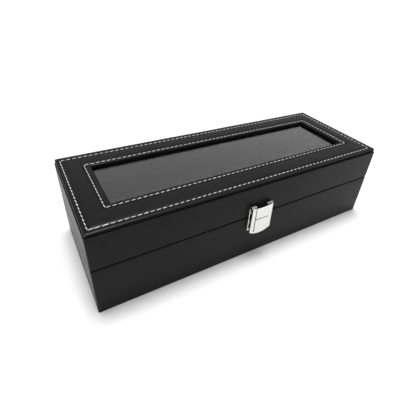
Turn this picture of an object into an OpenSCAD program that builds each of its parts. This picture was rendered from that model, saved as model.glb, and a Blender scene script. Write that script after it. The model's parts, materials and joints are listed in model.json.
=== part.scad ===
// Six-slot watch display case: a low leatherette-covered board box with a
// hinged, glazed lid, a stitched and padded top frame, six lift-out watch
// cushions and a chrome flap clasp at the front.
// Millimetres, +Z up, origin at the centre of the underside,
// +X along the long side, clasp side at -Y.

/* [Case] */
// Overall length of the case, left to right
case_l = 300; // [280:1:340]
// Overall depth of the case, front to back, without the clasp
case_d = 112; // [108:1:130]
// Height of the parting line between base and lid
base_h = 46.5; // [44:0.1:56]
// Height of the lid, parting line to the leather of the top frame
lid_h = 34.5; // [33:0.1:41]
// Radius of the upright outer corners
corner_r = 1.5; // [1:0.5:4]

/* [Boards and coverings] */
// Thickness of the base's wall boards
base_board = 8; // [7:0.5:9]
// Thickness of the lid's wall boards
lid_board = 7.4; // [6.5:0.1:7.6]
// Thickness of the bottom board
bottom_board = 4; // [3:0.5:6]
// Thickness of the outer leatherette
leather = 0.8; // [0.6:0.1:1]
// Thickness of the velvet-covered lining cards
lining = 1.5; // [1:0.1:2]
// Thickness of the felt glued under the base
felt_t = 0.5; // [0.3:0.1:1]
// How far the felt stops inside the edges of the underside
felt_in = 3; // [2:0.5:8]
// How far the base lining stands above the parting line as a locating lip
lip = 3; // [1:0.5:3]
// Width of the leatherette turned under the base
hem = 15; // [8:1:20]

/* [Compartments] */
// Number of compartments
slots = 6; // [6]
// Thickness of each divider card
divider_t = 2; // [1.5:0.1:2.5]
// Height of the top of the dividers above the underside
divider_top = 45; // [36:1:46]
// Side clearance of a cushion in its compartment
pillow_gap = 1.4; // [0.5:0.1:3]
// Depth of a cushion, front to back
pillow_d = 68; // [56:1:76]
// Height of a cushion
pillow_h = 43; // [36:1:44]
// Radius of the long rounded edges of a cushion
pillow_r = 15; // [8:1:20]

/* [Window and top frame] */
// Length of the window
win_l = 247.4; // [220:0.1:254]
// Distance from the front of the case to the window
win_front = 27.7; // [24:0.1:32]
// Distance from the back of the case to the window
win_back = 24.7; // [20:0.1:30]
// Thickness of the glass pane
glass_t = 2; // [1.5:0.1:3]
// Thickness of the padded top frame
frame_t = 1.6; // [1.5:0.1:3]
// Set-back of the padded frame from the outside of the lid
frame_in = 0.9; // [0.2:0.1:1]
// Height of the dark groove under the padded frame
groove_h = 1.9; // [1:0.1:2.6]
// Set-back of that groove from the outside
groove_in = 1.7; // [1:0.1:2.5]
// Thickness of the lip that lies over the edge of the glass
glass_lip = 1.5; // [1:0.1:1.8]
// Thickness of the lid's inner top rails
rail_t = 6; // [5:0.5:7]
// Inset of the outer stitch line at the front
stitch_front = 5.1; // [5:0.1:8]
// Inset of the outer stitch line at the two ends
stitch_in = 4.3; // [4:0.1:6]
// Inset of the outer stitch line at the back
stitch_back = 6.3; // [4.5:0.1:7]
// Distance from the inner stitch line to the window at the front and back
stitch_win = 3.5; // [3:0.1:5]
// Distance from the inner stitch line to the window at the two ends
stitch_end = 5.1; // [3:0.1:6]

/* [Hinges] */
// Distance of each hinge from the middle
hinge_x = 95; // [70:1:115]
// Length of a hinge
hinge_l = 30; // [20:1:40]
// Distance of the hinge pin from the back of the case
hinge_in = 2.6; // [2.2:0.1:3]
// Half angle of the groove cut along the back; twice this is where the lid stops
groove_a = 49; // [46:0.5:52]

/* [Clasp] */
// How far the clasp sits to the right of the middle
clasp_x = -1; // [-3:0.1:3]
// Width of the flap at its top edge
flap_w = 22; // [18:0.5:26]
// How much wider the flap is at its lower edge
flap_flare = 1.2; // [0:0.1:2]
// Height of the middle of the flap's upper edge
flap_top = 57.7; // [57:0.1:58.4]
// Height of the lowest point of the flap
flap_low = 28.5; // [26:0.1:32]
// Height of the flap's pivot
pivot_z = 58.3; // [57.9:0.1:58.6]
// Width of the two plates behind the flap
plate_w = 23.2; // [22:0.1:26]

/* [Hidden] */
$fn = 48;

L = case_l/2;
D = case_d/2;
rim = 0.05;                         // each rim stops this far short of the parting line
zb = base_h - rim;                  // top of the base's rim
zl = base_h + rim;                  // bottom of the lid's rim
zt = base_h + lid_h;                // top of the case
zf = zt - frame_t;                  // underside of the padded frame
zs = zf - groove_h;                 // top of the lid's shell
zw = felt_t;                        // underside of the leatherette, on the felt
floor_z = zw + leather + bottom_board; // top of the bottom board
lin_z = floor_z + 1.1;              // top of the floor lining
bx = L - leather - base_board;      // inner faces of the base's boards
by = D - leather - base_board;
lx = L - leather - lid_board;       // inner faces of the lid's boards
ly = D - leather - lid_board;
cx = bx - lining;                   // inner faces of the base's lining
cy = by - lining;
cell = (2*cx - (slots - 1)*divider_t)/slots;
pitch = cell + divider_t;
wy0 = -D + win_front;               // window, front and back edges
wy1 = D - win_back;
wx = win_l/2;
rail_z = zs - rail_t;
gz = zf - glass_lip;                // top of the pane
hy = D - hinge_in;                  // hinge pin
leaf_y0 = D - leather - lid_board + 0.3;
leaf_y1 = hy - 1.75;
pv_y = -D - 2.1;                    // clasp pivot
flap_in = pv_y - 1.85;              // back of the flap
flap_t = 0.95;

// ---- shared shapes ----

module rrect(l, d, r) {
  square([l - 2*r, d], center = true);
  square([l, d - 2*r], center = true);
  for (sx = [-1, 1], sy = [-1, 1]) translate([sx*(l/2 - r), sy*(d/2 - r)]) circle(r);
}

// box given by its low and high corners
module bx3(a, b) translate(a) cube(b - a);

// flat ring between two rectangles given by corners
module ring3(a, b, ia, ib) difference() {
  bx3(a, b);
  bx3([ia[0], ia[1], a[2] - 1], [ib[0], ib[1], b[2] + 1]);
}

// everything above the slanted face along the base's back edge
module base_bevel(off) translate([0, hy, base_h]) rotate([-groove_a, 0, 0])
  translate([-L - 20, -40, -0.1 - off]) cube([2*L + 40, 80, 60]);

// everything below the slanted face along the lid's back edge
module lid_bevel(off) translate([0, hy, base_h]) rotate([groove_a, 0, 0])
  translate([-L - 20, -40, 0.1 + off - 60]) cube([2*L + 40, 80, 60]);

// room for the two hinge barrels
module barrel_room() for (s = [-1, 1]) translate([s*hinge_x, hy, base_h])
  rotate([0, 90, 0]) cylinder(h = hinge_l + 2, r = 1.85, center = true);

// room for a countersunk hinge screw, head up, head face at z = 0
module screw_body() {
  translate([0, 0, -0.8]) cylinder(h = 0.8, r1 = 0.7, r2 = 1.3);
  translate([0, 0, -6.8]) cylinder(h = 6, r = 0.7);
}
// the screw itself, with its cross recess
module hinge_screw() difference() {
  screw_body();
  for (a = [45, 135]) rotate(a) translate([-0.8, -0.15, -0.45]) cube([1.6, 0.3, 1]);
}
module at_base_screws() for (s = [-1, 1], t = [-1, 1])
  translate([s*hinge_x + t*hinge_l/3, (leaf_y0 + leaf_y1)/2, zb]) children();
module at_lid_screws() for (s = [-1, 1], t = [-1, 1])
  translate([s*hinge_x + t*hinge_l/3, (leaf_y0 + leaf_y1)/2, zl]) mirror([0, 0, 1]) children();

// a round-headed tack driven into the front, head outside, at y = front of its plate
module tack() rotate([90, 0, 0]) {
  translate([0, 0, -5.8]) cylinder(h = 5.8, r = 0.55);
  intersection() {
    translate([0, 0, -1.6]) sphere(2.2);
    cylinder(h = 3, r = 1.5);
  }
}
module at_clasp() translate([clasp_x, 0, 0]) children();
module hinge_plate_tacks() at_clasp() for (s = [-1, 1]) translate([s*8.6, -D - 0.8, base_h + 5]) tack();
module keeper_tacks() at_clasp() for (s = [-1, 1]) translate([s*8.6, -D - 0.8, base_h - 5]) tack();

// outline volumes that the boards share
module base_core() difference() {
  translate([0, 0, zw + leather]) linear_extrude(zb - zw - 2*leather)
    rrect(case_l - 2*leather, case_d - 2*leather, corner_r - leather);
  bx3([-bx, -by, -1], [bx, by, zt]);
  base_bevel(leather);
  barrel_room();
}
module lid_core() difference() {
  translate([0, 0, zl + leather]) linear_extrude(zs - zl - 2*leather)
    rrect(case_l - 2*leather, case_d - 2*leather, corner_r - leather);
  bx3([-lx, -ly, 0], [lx, ly, zt]);
  lid_bevel(leather);
  barrel_room();
}

// ---- base ----

module base_front_board() color("tan") difference() {
  intersection() { base_core(); bx3([-L, -D, 0], [L, -by, zt]); }
  keeper_tacks();
}
module base_back_board() color("tan") difference() {
  intersection() { base_core(); bx3([-L, by, 0], [L, D, zt]); }
  at_base_screws() screw_body();
}
module base_left_board() color("tan") intersection() { base_core(); bx3([-L, -by, 0], [-bx, by, zt]); }
module base_right_board() color("tan") intersection() { base_core(); bx3([bx, -by, 0], [L, by, zt]); }
module base_bottom_board() color("tan") bx3([-bx, -by, zw + leather], [bx, by, floor_z]);

// one sheet: over the outside, turned in over the rim and under the base
module base_leather_wrap() color([0.10, 0.10, 0.11]) difference() {
  translate([0, 0, zw]) linear_extrude(zb - zw) rrect(case_l, case_d, corner_r);
  base_bevel(0);
  difference() {
    translate([0, 0, zw + leather]) linear_extrude(zb - zw - 2*leather)
      rrect(case_l - 2*leather, case_d - 2*leather, corner_r - leather);
    base_bevel(leather);
  }
  bx3([-bx, -by, zw + leather], [bx, by, zt]);
  bx3([-L + hem, -D + hem, -1], [L - hem, D - hem, zw + leather]);
  barrel_room();
  leaf_seat(-1);
  keeper_tacks();
}
module base_underside_felt() color([0.06, 0.06, 0.07])
  linear_extrude(felt_t) rrect(case_l - 2*felt_in, case_d - 2*felt_in, corner_r);

module base_lining_front() color([0.05, 0.05, 0.055]) bx3([-bx, -by, lin_z], [bx, -cy, base_h + lip]);
module base_lining_back() color([0.05, 0.05, 0.055]) bx3([-bx, cy, lin_z], [bx, by, base_h + lip]);
module base_lining_left() color([0.05, 0.05, 0.055]) bx3([-bx, -cy, lin_z], [-cx, cy, base_h + lip]);
module base_lining_right() color([0.05, 0.05, 0.055]) bx3([cx, -cy, lin_z], [bx, cy, base_h + lip]);
module base_lining_floor() color([0.05, 0.05, 0.055]) bx3([-bx, -by, floor_z], [bx, by, lin_z]);

module divider(n) color([0.05, 0.05, 0.055])
  translate([-cx + n*pitch - divider_t, 0, 0]) bx3([0, -cy, lin_z], [divider_t, cy, divider_top]);

// a cushion: rounded front-to-back section, straight across the slot
module pillow(n) color([0.07, 0.07, 0.075])
  translate([-cx + (n - 1)*pitch + pillow_gap, 0, lin_z + 0.1 + pillow_h/2])
    rotate([90, 0, 90]) linear_extrude(cell - 2*pillow_gap) rrect(pillow_d, pillow_h, pillow_r);

// ---- hinges ----

// room in the leatherette for a leaf, dir -1 in the base's rim and 1 in the lid's
module leaf_seat(dir) for (s = [-1, 1]) translate([s*hinge_x, 0, 0]) {
  z0 = dir < 0 ? zb - 0.8 : zl - 1;
  z1 = dir < 0 ? zb + 1 : zl + 0.8;
  bx3([-hinge_l/2, leaf_y0, z0], [hinge_l/2, hy, z1]);
}

module base_leaf(s) color("silver") translate([s*hinge_x, 0, 0]) difference() {
  union() {
    bx3([-hinge_l/2, leaf_y0, zb - 0.8], [hinge_l/2, leaf_y1, zb]);
    for (t = [-1, 1]) {
      translate([t*(hinge_l/3 + 0.05), (leaf_y1 + hy)/2, zb - 0.4])
        cube([hinge_l/3 - 0.1, hy - leaf_y1, 0.8], center = true);
      translate([t*(hinge_l/3 + 0.05), hy, base_h]) rotate([0, 90, 0])
        cylinder(h = hinge_l/3 - 0.1, r = 1.6, center = true);
    }
  }
  translate([0, hy, base_h]) rotate([0, 90, 0]) cylinder(h = hinge_l + 4, r = 0.8, center = true);
  translate([-s*hinge_x, 0, 0]) at_base_screws() screw_body();
}
module lid_leaf(s) color("silver") translate([s*hinge_x, 0, 0]) difference() {
  union() {
    bx3([-hinge_l/2, leaf_y0, zl], [hinge_l/2, leaf_y1, zl + 0.8]);
    translate([0, (leaf_y1 + hy)/2, zl + 0.4])
      cube([hinge_l/3 - 0.2, hy - leaf_y1, 0.8], center = true);
    translate([0, hy, base_h]) rotate([0, 90, 0])
      cylinder(h = hinge_l/3 - 0.2, r = 1.6, center = true);
  }
  translate([0, hy, base_h]) rotate([0, 90, 0]) cylinder(h = hinge_l + 4, r = 0.85, center = true);
  translate([-s*hinge_x, 0, 0]) at_lid_screws() screw_body();
}
module hinge_pin(s) color("silver") translate([s*hinge_x, hy, base_h]) rotate([0, 90, 0]) {
  cylinder(h = hinge_l + 0.1, r = 0.8, center = true);
  for (t = [-1, 1]) translate([0, 0, t*(hinge_l/2 + 0.3)]) cylinder(h = 0.5, r = 1.2, center = true);
}
module hinge_screws_base() color("silver") at_base_screws() hinge_screw();
module hinge_screws_lid() color("silver") at_lid_screws() hinge_screw();

// ---- lid ----

module lid_front_board() color("tan") difference() {
  intersection() { lid_core(); bx3([-L, -D, 0], [L, -ly, zt]); }
  hinge_plate_tacks();
}
module lid_back_board() color("tan") difference() {
  intersection() { lid_core(); bx3([-L, ly, 0], [L, D, zt]); }
  at_lid_screws() screw_body();
}
module lid_left_board() color("tan") intersection() { lid_core(); bx3([-L, -ly, 0], [-lx, ly, zt]); }
module lid_right_board() color("tan") intersection() { lid_core(); bx3([lx, -ly, 0], [L, ly, zt]); }

// pocket for the pane, partly in the rails and partly in the frame above them
module glass_pocket() bx3([-wx - 4.2, wy0 - 4.2, gz - glass_t], [wx + 4.2, wy1 + 4.2, gz]);
module lid_top_rail_front() color("tan") difference() {
  bx3([-lx, -ly, rail_z], [lx, wy0, zs]); glass_pocket(); }
module lid_top_rail_back() color("tan") difference() {
  bx3([-lx, wy1, rail_z], [lx, ly, zs]); glass_pocket(); }
module lid_top_rail_left() color("tan") difference() {
  bx3([-lx, wy0, rail_z], [-wx, wy1, zs]); glass_pocket(); }
module lid_top_rail_right() color("tan") difference() {
  bx3([wx, wy0, rail_z], [lx, wy1, zs]); glass_pocket(); }

// one sheet: over the outside, turned in under the rim and over the top edge
module lid_leather_wrap() color([0.10, 0.10, 0.11]) difference() {
  translate([0, 0, zl]) linear_extrude(zs - zl) rrect(case_l, case_d, corner_r);
  lid_bevel(0);
  difference() {
    translate([0, 0, zl + leather]) linear_extrude(zs - zl - 2*leather)
      rrect(case_l - 2*leather, case_d - 2*leather, corner_r - leather);
    lid_bevel(leather);
  }
  bx3([-lx, -ly, 0], [lx, ly, zt]);
  barrel_room();
  leaf_seat(1);
  hinge_plate_tacks();
}

module glass_pane() color([0.75, 0.8, 0.8, 0.35])
  bx3([-wx - 4, wy0 - 4, gz - glass_t], [wx + 4, wy1 + 4, gz]);

// frame that holds the pane down with a lip and leaves the groove outside
module window_spacer_frame() color([0.03, 0.03, 0.03]) difference() {
  ring3([-L + groove_in, -D + groove_in, zs], [L - groove_in, D - groove_in, zf],
        [-wx, wy0], [wx, wy1]);
  glass_pocket();
}

fl = 0.4;                           // leather of the padded frame
fi = frame_in + fl;
module top_frame_board() color("tan")
  ring3([-L + fi, -D + fi, zf + fl], [L - fi, D - fi, zt - 2*fl],
        [-wx - fl, wy0 - fl], [wx + fl, wy1 + fl]);
module top_frame_padding() color("white")
  ring3([-L + fi, -D + fi, zt - 2*fl], [L - fi, D - fi, zt - fl],
        [-wx - fl, wy0 - fl], [wx + fl, wy1 + fl]);
module top_frame_leather() color([0.11, 0.11, 0.12]) difference() {
  translate([0, 0, zf]) linear_extrude(frame_t)
    rrect(case_l - 2*frame_in, case_d - 2*frame_in, max(corner_r - frame_in, 0.1));
  bx3([-wx, wy0, 0], [wx, wy1, zt + 1]);
  ring3([-L + fi, -D + fi, zf + fl], [L - fi, D - fi, zt - fl],
        [-wx - fl, wy0 - fl], [wx + fl, wy1 + fl]);
  ring3([-L + 8, -D + 8, zf - 1], [L - 8, D - 8, zf + fl + 0.01],
        [-wx - 6, wy0 - 6], [wx + 6, wy1 + 6]);
  thread_outer();
  thread_inner();
}

// a line of thread let into the leather, on a rectangle given by corners
module thread(a, b) ring3([a[0] - 0.4, a[1] - 0.4, zt - 0.35], [b[0] + 0.4, b[1] + 0.4, zt + 0.2],
                          [a[0] + 0.4, a[1] + 0.4], [b[0] - 0.4, b[1] - 0.4]);
module thread_outer() thread([-L + stitch_in, -D + stitch_front], [L - stitch_in, D - stitch_back]);
module thread_inner() thread([-wx - stitch_end, wy0 - stitch_win], [wx + stitch_end, wy1 + stitch_win]);
module stitching_outer() color([0.8, 0.79, 0.76]) thread_outer();
module stitching_inner() color([0.8, 0.79, 0.76]) thread_inner();

lining_z = base_h + lip + 0.7;      // lid lining starts just above the lip
module lid_lining_front() color([0.05, 0.05, 0.055]) bx3([-lx, -ly, lining_z], [lx, -ly + lining, rail_z - 1]);
module lid_lining_back() color([0.05, 0.05, 0.055]) bx3([-lx, ly - lining, lining_z], [lx, ly, rail_z - 1]);
module lid_lining_left() color([0.05, 0.05, 0.055])
  bx3([-lx, -ly + lining, lining_z], [-lx + lining, ly - lining, rail_z - 1]);
module lid_lining_right() color([0.05, 0.05, 0.055])
  bx3([lx - lining, -ly + lining, lining_z], [lx, ly - lining, rail_z - 1]);
module lid_lining_top() color([0.05, 0.05, 0.055])
  ring3([-lx, -ly, rail_z - 1], [lx, ly, rail_z], [-wx, wy0], [wx, wy1]);

// ---- clasp ----

ear_w = 3.1;                        // width of each knuckle of the upper plate
ear_x = plate_w/2 - ear_w/2;
eye_x = plate_w/2 - 4.35;           // middle of the flap's eyes

// side edges of a plate, turned out and rounded
module plate_flanges(z0, z1) for (m = [0, 1]) mirror([m, 0, 0])
  translate([plate_w/2 - 1.1, -D - 1.35, z0]) linear_extrude(z1 - z0) intersection() {
    square([1.1, 0.95]);
    union() {
      translate([0.25, 0.85]) circle(0.85);
      translate([0, 0.8]) square([1.1, 0.2]);
    }
  }

module clasp_hinge_plate() color([0.85, 0.86, 0.87]) difference() {
  at_clasp() union() {
    bx3([-plate_w/2, -D - 0.8, base_h + 0.3], [plate_w/2, -D, base_h + 7.8]);
    for (s = [-1, 1]) translate([s*ear_x, 0, 0]) {
      translate([0, pv_y, pivot_z]) rotate([0, 90, 0]) cylinder(h = ear_w, r = 1.75, center = true);
      bx3([-ear_w/2, pv_y, pivot_z - 1.75], [ear_w/2, -D - 0.4, pivot_z + 0.9]);
      bx3([-ear_w/2, -D - 0.8, base_h + 5], [ear_w/2, -D, pivot_z + 0.9]);
    }
    plate_flanges(base_h + 0.3, pivot_z + 0.9);
  }
  translate([0, pv_y, pivot_z]) rotate([0, 90, 0]) cylinder(h = 60, r = 0.85, center = true);
  hinge_plate_tacks();
}
module clasp_hinge_tacks() color([0.85, 0.86, 0.87]) hinge_plate_tacks();
module clasp_pin(s) color([0.7, 0.7, 0.7]) at_clasp() translate([s*(plate_w/2 - 3.2), pv_y, pivot_z])
  rotate([0, 90, 0]) cylinder(h = 4.4, r = 0.85, center = true);

// plate on the base with the bead that the flap snaps over
module clasp_keeper_plate() color([0.85, 0.86, 0.87]) difference() {
  at_clasp() union() {
    bx3([-plate_w/2, -D - 0.8, 32], [plate_w/2, -D, base_h - 0.3]);
    plate_flanges(32, base_h - 0.3);
    bx3([-5, -D - 2.3, 38.2], [5, -D - 0.4, 39.8]);
    translate([0, -D - 2.3, 39]) rotate([0, 90, 0]) cylinder(h = 10, r = 0.8, center = true);
  }
  keeper_tacks();
}
module clasp_keeper_tacks() color([0.85, 0.86, 0.87]) keeper_tacks();

// outline of the flap seen from the front, x across and y up
module flap_outline() {
  sag = 1.5;
  ra = (pow(flap_w/2, 2) + sag*sag)/(2*sag);
  bow = 3.6;
  hb = flap_w/2 + flap_flare/2;
  rb = (hb*hb + bow*bow)/(2*bow);
  difference() {
    intersection() {
      polygon([[-flap_w/2, flap_top + sag], [flap_w/2, flap_top + sag],
               [hb, flap_low], [-hb, flap_low]]);
      union() {
        translate([0, flap_low + rb]) circle(rb, $fn = 96);
        translate([-30, flap_low + bow]) square([60, 60]);
      }
    }
    translate([0, flap_top + ra]) circle(ra, $fn = 96);
  }
}
module clasp_flap() color([0.92, 0.93, 0.94]) at_clasp() difference() {
  union() {
    translate([0, flap_in, 0]) rotate([90, 0, 0]) linear_extrude(flap_t) flap_outline();
    for (s = [-1, 1]) translate([s*eye_x, 0, 0]) {
      translate([0, pv_y, pivot_z]) rotate([0, 90, 0]) cylinder(h = 2.1, r = 1.4, center = true);
      bx3([-1.05, flap_in - 0.4, pivot_z - 1.3], [1.05, pv_y, pivot_z - 0.2]);
    }
    bx3([-4, flap_in - 0.4, 36.2], [4, -D - 2.82, 37.7]);
  }
  translate([0, pv_y, pivot_z]) rotate([0, 90, 0]) cylinder(h = 30, r = 0.9, center = true);
  // decorative grooves: one down the left, one across to the right of it
  bx3([-7.9, flap_in - flap_t - 1, flap_low + 3.1], [-6.4, flap_in - flap_t + 0.5, flap_top + 5]);
  bx3([-6.8, flap_in - flap_t - 1, 45.0], [7.6, flap_in - flap_t + 0.45, 45.75]);
}

base_front_board();
base_back_board();
base_left_board();
base_right_board();
base_bottom_board();
base_leather_wrap();
base_underside_felt();
base_lining_front();
base_lining_back();
base_lining_left();
base_lining_right();
base_lining_floor();
divider(1);  // divider_1
divider(2);  // divider_2
divider(3);  // divider_3
divider(4);  // divider_4
divider(5);  // divider_5
pillow(1);  // pillow_1
pillow(2);  // pillow_2
pillow(3);  // pillow_3
pillow(4);  // pillow_4
pillow(5);  // pillow_5
pillow(6);  // pillow_6
base_leaf(-1);  // hinge_left_base_leaf
base_leaf(1);  // hinge_right_base_leaf
hinge_pin(-1);  // hinge_left_pin
hinge_pin(1);  // hinge_right_pin
hinge_screws_base();
clasp_keeper_plate();
clasp_keeper_tacks();
lid_front_board();
lid_back_board();
lid_left_board();
lid_right_board();
lid_top_rail_front();
lid_top_rail_back();
lid_top_rail_left();
lid_top_rail_right();
lid_leather_wrap();
glass_pane();
window_spacer_frame();
top_frame_board();
top_frame_padding();
top_frame_leather();
stitching_outer();
stitching_inner();
lid_lining_front();
lid_lining_back();
lid_lining_left();
lid_lining_right();
lid_lining_top();
lid_leaf(-1);  // hinge_left_lid_leaf
lid_leaf(1);  // hinge_right_lid_leaf
hinge_screws_lid();
clasp_hinge_plate();
clasp_hinge_tacks();
clasp_pin(-1);  // clasp_pin_left
clasp_pin(1);  // clasp_pin_right
clasp_flap();
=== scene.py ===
"""Looks for the six-slot watch display case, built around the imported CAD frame."""
import json
import math

import bmesh
import bpy
import numpy as np
from mathutils import Matrix, Vector


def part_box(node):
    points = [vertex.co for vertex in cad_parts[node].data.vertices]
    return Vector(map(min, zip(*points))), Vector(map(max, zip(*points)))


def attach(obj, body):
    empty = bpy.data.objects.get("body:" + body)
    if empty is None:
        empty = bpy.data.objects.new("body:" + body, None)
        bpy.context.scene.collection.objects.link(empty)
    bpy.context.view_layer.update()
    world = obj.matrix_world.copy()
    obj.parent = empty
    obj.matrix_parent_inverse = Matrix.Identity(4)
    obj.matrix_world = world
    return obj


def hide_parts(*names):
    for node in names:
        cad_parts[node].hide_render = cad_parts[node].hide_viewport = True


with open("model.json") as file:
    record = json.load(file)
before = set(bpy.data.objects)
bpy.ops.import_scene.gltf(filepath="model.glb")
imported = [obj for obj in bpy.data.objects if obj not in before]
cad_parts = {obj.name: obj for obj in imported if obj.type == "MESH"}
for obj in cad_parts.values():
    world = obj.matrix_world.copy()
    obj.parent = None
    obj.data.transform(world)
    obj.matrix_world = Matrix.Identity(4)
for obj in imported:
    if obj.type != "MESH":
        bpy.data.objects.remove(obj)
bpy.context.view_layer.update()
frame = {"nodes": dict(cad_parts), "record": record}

scene = bpy.context.scene
nodes = frame["nodes"]
MM = 0.001
rng = np.random.default_rng(7)

# ------------------------------------------------------------------ camera
cam_data = bpy.data.cameras.new("camera")
cam = bpy.data.objects.new("camera", cam_data)
scene.collection.objects.link(cam)
cam_data.sensor_fit = "HORIZONTAL"
cam_data.sensor_width = 36.0
cam_data.lens = 28.416
cam_data.shift_x = -0.01845
cam_data.shift_y = -0.05474
cam_data.clip_start, cam_data.clip_end = 0.01, 50.0


def camera_axes(az, el, roll):
    """Right, up and back of a camera that looks from azimuth az and elevation el."""
    az, el, roll = (math.radians(v) for v in (az, el, roll))
    back = Vector((math.sin(az) * math.cos(el), -math.cos(az) * math.cos(el), math.sin(el)))
    right = (-back).cross(Vector((0, 0, 1))).normalized()
    up = right.cross(-back)
    return (right * math.cos(roll) + up * math.sin(roll),
            up * math.cos(roll) - right * math.sin(roll), back)


r_, u_, b_ = camera_axes(-33.308, 33.881, 4.443)
cam.matrix_world = Matrix((
    (r_.x, u_.x, b_.x, -0.16473),
    (r_.y, u_.y, b_.y, -0.23063),
    (r_.z, u_.z, b_.z, 0.23279),
    (0, 0, 0, 1)))
scene.camera = cam

# ------------------------------------------------------------------ sizes, mm, as in the CAD
L, D = 150.0, 56.0
BASE_H, ZT = 46.5, 81.0
ZW, ZB, ZL = 0.5, 46.3, 46.8     # leather: underside, and both faces of the joint
FRAME_T, GROOVE = 1.6, 1.9
ZF, ZS = ZT - FRAME_T, ZT - FRAME_T - GROOVE
CORNER = 1.5
FRAME_IN = 0.9                    # set-back of the padded frame
CLASP_X = -1.0
HY = D - 2.6
TAN = math.tan(math.radians(49))
LEAF_Y0 = D - 0.8 - 7.4 + 0.3
OUT = (4.3, 5.1, 6.3, 6.8)       # outer stitch line, inset at the left, front, back and right
INN = (21.2, 24.2, 21.6, 20.8)   # inner stitch line
WIN = (26.3, 27.7, 24.7, 26.3)   # window


# ------------------------------------------------------------------ node helpers
class Mat:
    """A node material with a few shortcuts."""

    def __init__(self, name):
        self.m = bpy.data.materials.new(name)
        self.m.use_nodes = True
        self.t = self.m.node_tree
        self.bsdf = self.t.nodes["Principled BSDF"]
        self.coord = self.t.nodes.new("ShaderNodeTexCoord").outputs["Object"]

    def node(self, kind, **props):
        n = self.t.nodes.new(kind)
        for k, v in props.items():
            setattr(n, k, v)
        return n

    def link(self, a, b):
        self.t.links.new(a, b)

    def set(self, **sockets):
        for k, v in sockets.items():
            self.bsdf.inputs[k.replace("_", " ")].default_value = v

    def mapping(self, scale=(1, 1, 1), rot=(0, 0, 0), src=None):
        n = self.node("ShaderNodeMapping")
        n.inputs["Scale"].default_value = scale
        n.inputs["Rotation"].default_value = rot
        self.link(src or self.coord, n.inputs["Vector"])
        return n.outputs["Vector"]

    def noise(self, scale, detail=3.0, rough=0.55, src=None, distortion=0.0):
        n = self.node("ShaderNodeTexNoise")
        n.inputs["Scale"].default_value = scale
        n.inputs["Detail"].default_value = detail
        n.inputs["Roughness"].default_value = rough
        n.inputs["Distortion"].default_value = distortion
        self.link(src or self.coord, n.inputs["Vector"])
        return n.outputs["Fac"]

    def voronoi(self, scale, feature="F1", src=None, out="Distance", randomness=1.0):
        n = self.node("ShaderNodeTexVoronoi", feature=feature)
        n.inputs["Scale"].default_value = scale
        n.inputs["Randomness"].default_value = randomness
        self.link(src or self.coord, n.inputs["Vector"])
        return n.outputs[out]

    def ramp(self, fac, stops):
        n = self.node("ShaderNodeValToRGB")
        while len(n.color_ramp.elements) < len(stops):
            n.color_ramp.elements.new(0.5)
        for e, (pos, col) in zip(n.color_ramp.elements, stops):
            e.position = pos
            e.color = (*col, 1) if isinstance(col, (tuple, list)) else (col, col, col, 1)
        self.link(fac, n.inputs["Fac"])
        return n.outputs["Color"]

    def range(self, fac, lo, hi, a=0.0, b=1.0):
        n = self.node("ShaderNodeMapRange")
        n.inputs["From Min"].default_value = a
        n.inputs["From Max"].default_value = b
        n.inputs["To Min"].default_value = lo
        n.inputs["To Max"].default_value = hi
        self.link(fac, n.inputs["Value"])
        return n.outputs["Result"]

    def math(self, op, a, b=None):
        n = self.node("ShaderNodeMath", operation=op)
        for i, v in enumerate((a, b)):
            if v is None:
                continue
            if isinstance(v, (int, float)):
                n.inputs[i].default_value = v
            else:
                self.link(v, n.inputs[i])
        return n.outputs["Value"]

    def bump(self, height, strength, distance, normal=None):
        n = self.node("ShaderNodeBump")
        n.inputs["Strength"].default_value = strength
        n.inputs["Distance"].default_value = distance
        self.link(height, n.inputs["Height"])
        if normal is not None:
            self.link(normal, n.inputs["Normal"])
        return n.outputs["Normal"]

    def mix(self, fac, a, b):
        n = self.node("ShaderNodeMix", data_type="RGBA")
        if isinstance(fac, (int, float)):
            n.inputs[0].default_value = fac
        else:
            self.link(fac, n.inputs[0])
        for i, v in ((6, a), (7, b)):
            if isinstance(v, (tuple, list)):
                n.inputs[i].default_value = (*v, 1)
            else:
                self.link(v, n.inputs[i])
        return n.outputs[2]

    def warped(self, scale, amount):
        """Object coordinates pushed about by a noise, so that cells don't look regular."""
        n = self.node("ShaderNodeTexNoise")
        n.inputs["Scale"].default_value = scale
        n.inputs["Detail"].default_value = 2.0
        self.link(self.coord, n.inputs["Vector"])
        sub = self.node("ShaderNodeVectorMath", operation="SUBTRACT")
        self.link(n.outputs["Color"], sub.inputs[0])
        sub.inputs[1].default_value = (0.5, 0.5, 0.5)
        mul = self.node("ShaderNodeVectorMath", operation="SCALE")
        self.link(sub.outputs["Vector"], mul.inputs[0])
        mul.inputs["Scale"].default_value = amount
        add = self.node("ShaderNodeVectorMath", operation="ADD")
        self.link(self.coord, add.inputs[0])
        self.link(mul.outputs["Vector"], add.inputs[1])
        return add.outputs["Vector"]


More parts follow.
